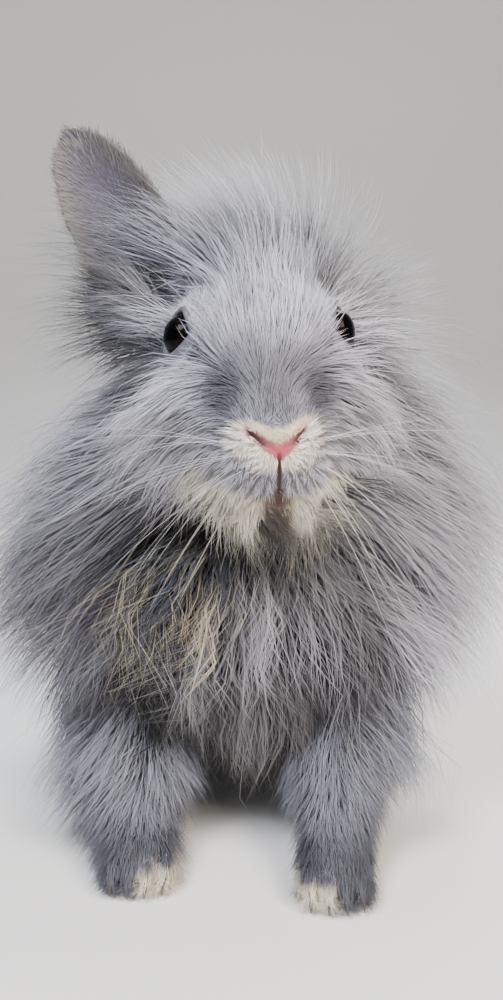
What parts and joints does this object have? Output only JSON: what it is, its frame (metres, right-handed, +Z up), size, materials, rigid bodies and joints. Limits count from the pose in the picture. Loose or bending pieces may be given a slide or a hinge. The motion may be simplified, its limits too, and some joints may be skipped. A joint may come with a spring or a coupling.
{
  "type": "lionhead rabbit",
  "caption": "Life-size still model of a blue-grey lionhead rabbit that stands on its forelegs, with a full mane, one ear up and the other laid back.",
  "frame": {"origin": "middle of the whole model's footprint at floor level", "axes": "+Z up, -Y the way the rabbit faces, +X to its own left"},
  "size_m": [0.1804, 0.246, 0.2359],
  "materials": {
    "coat": "long soft blue-grey wool and guard hair",
    "short_coat": "short velvety grey hair over thin skin",
    "leg_coat": "dense grey coat with cream toes",
    "eye": "wet dark brown eye",
    "claw_horn": "dark smooth horn"
  },
  "bodies": {
    "root": {"claw_fore_left_1": "claw_horn", "claw_fore_left_2": "claw_horn", "claw_fore_left_3": "claw_horn", "claw_fore_left_4": "claw_horn", "claw_fore_right_1": "claw_horn", "claw_fore_right_2": "claw_horn", "claw_fore_right_3": "claw_horn", "claw_fore_right_4": "claw_horn", "claw_hind_left_1": "claw_horn", "claw_hind_left_2": "claw_horn", "claw_hind_left_3": "claw_horn", "claw_hind_left_4": "claw_horn", "claw_hind_right_1": "claw_horn", "claw_hind_right_2": "claw_horn", "claw_hind_right_3": "claw_horn", "claw_hind_right_4": "claw_horn", "ear_left": "short_coat", "ear_right": "short_coat", "eye_left": "eye", "eye_right": "eye", "foreleg_left": "leg_coat", "foreleg_right": "leg_coat", "head": "coat", "hindleg_left": "leg_coat", "hindleg_right": "leg_coat", "neck": "coat", "tail": "coat", "torso": "coat"}
  },
  "joints": []
}
